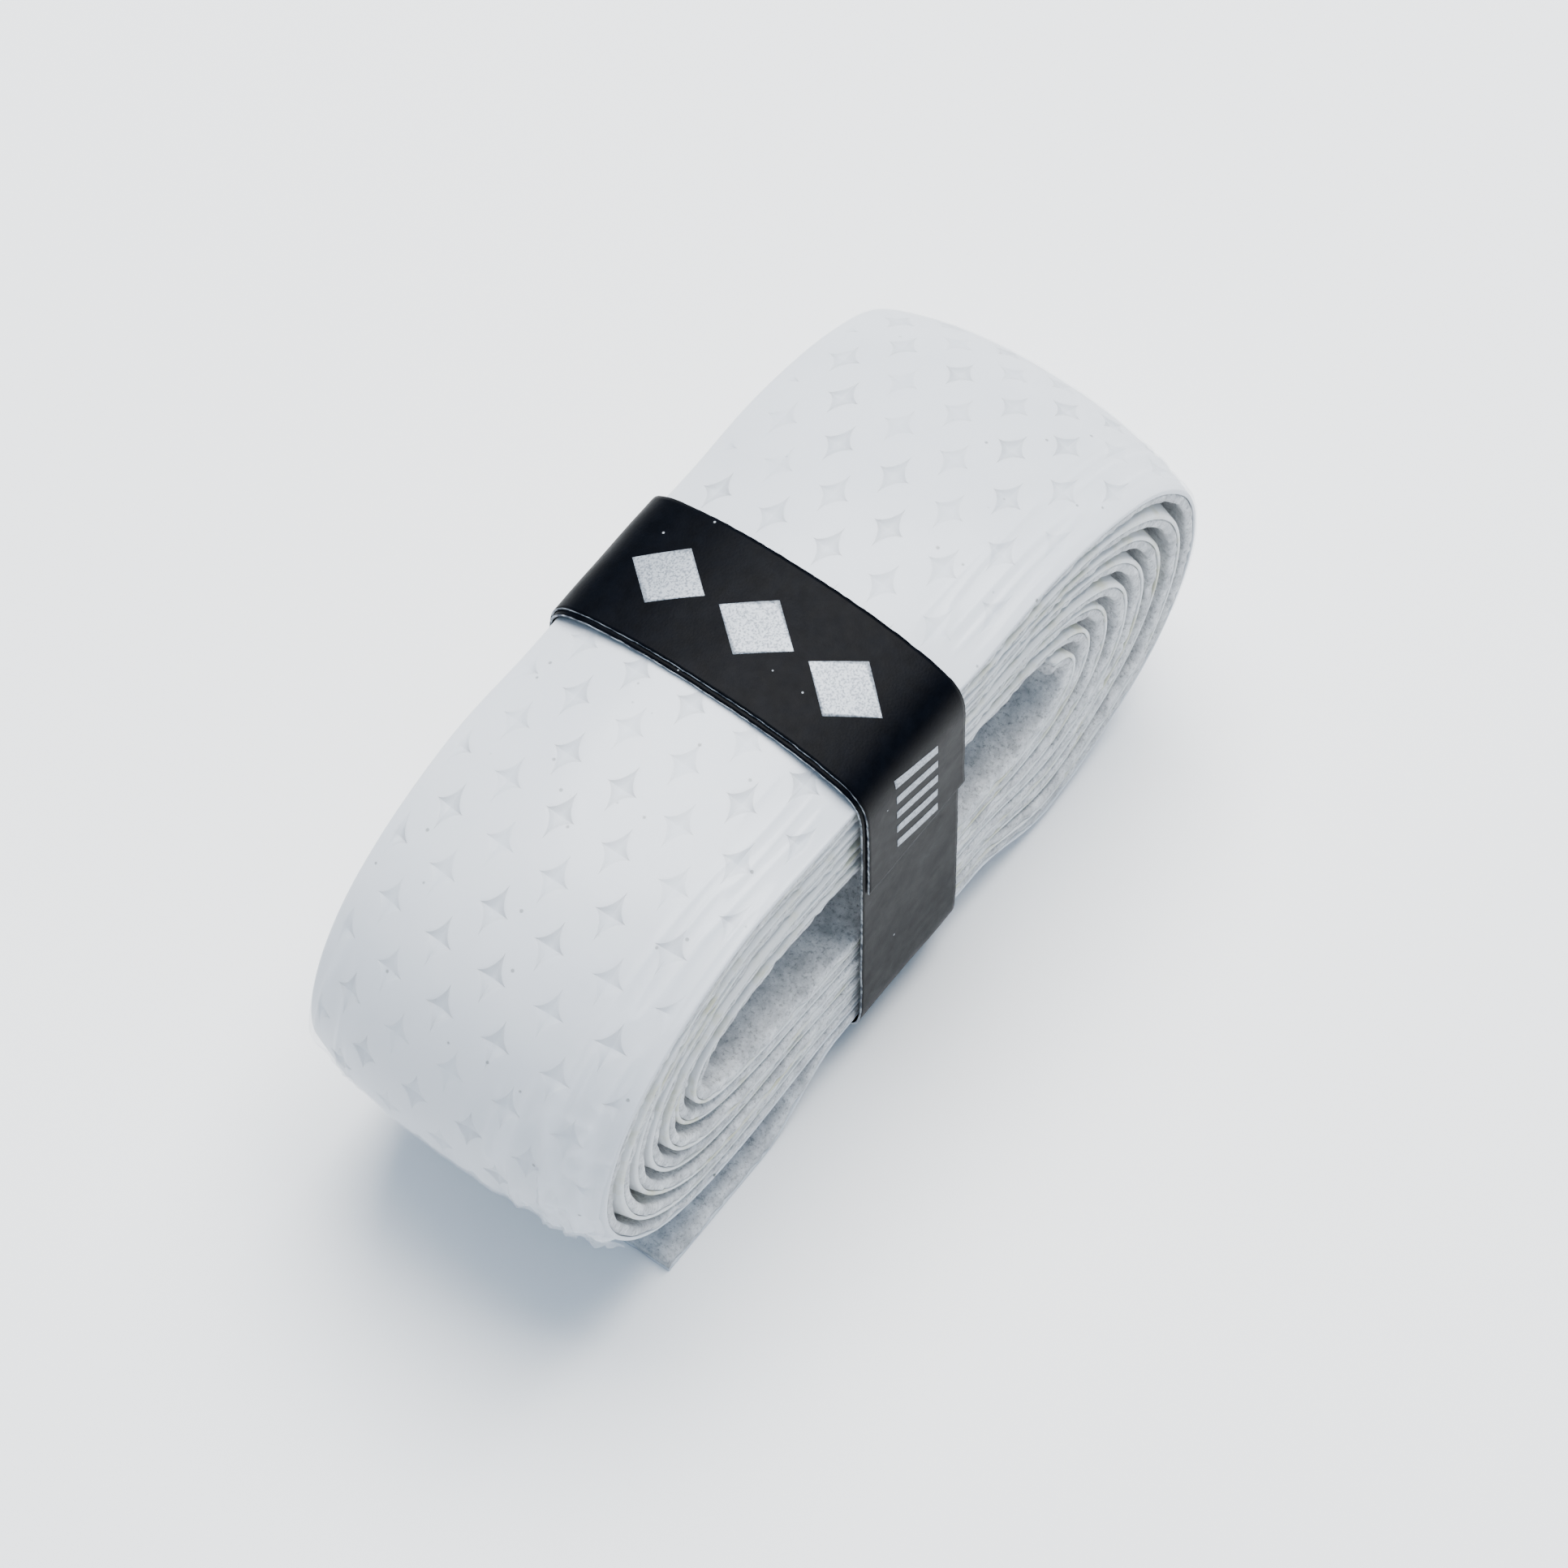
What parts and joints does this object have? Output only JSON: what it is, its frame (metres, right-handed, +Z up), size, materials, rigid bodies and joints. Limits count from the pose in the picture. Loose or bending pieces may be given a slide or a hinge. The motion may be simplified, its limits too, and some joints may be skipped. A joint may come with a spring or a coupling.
{
  "type": "grip tape roll",
  "caption": "Flattened coil of cushioned racket grip tape with an open eye and a loose outer end, held at its waist by a paper band.",
  "frame": {"origin": "on the surface that the roll stands on, at the middle of its length and width", "axes": "+X along the flattened roll, away from the end that the loose tail points to; +Y along the axis it was wound about; +Z up"},
  "size_m": [0.0725, 0.0264, 0.0385],
  "materials": {
    "skin": "soft satin polyurethane, embossed",
    "felt": "matte non-woven felt",
    "film": "clear thin plastic film",
    "adhesive": "tacky, slightly yellow",
    "liner": "smooth siliconised paper",
    "band_paper": "matte black printed paper",
    "silver_ink": "speckled silver print"
  },
  "bodies": {
    "roll": {"grip_skin": "skin", "felt_backing": "felt", "protective_film": "film", "start_adhesive": "adhesive", "release_liner": "liner"},
    "band": {"paper_band": "band_paper", "band_glue": "adhesive", "band_print": "silver_ink"}
  },
  "joints": [
    {"name": "band_slide", "type": "slide", "parent": "roll", "child": "band", "axis": [1, 0, 0], "range_m": [-0.0015, 0.0015]}
  ]
}
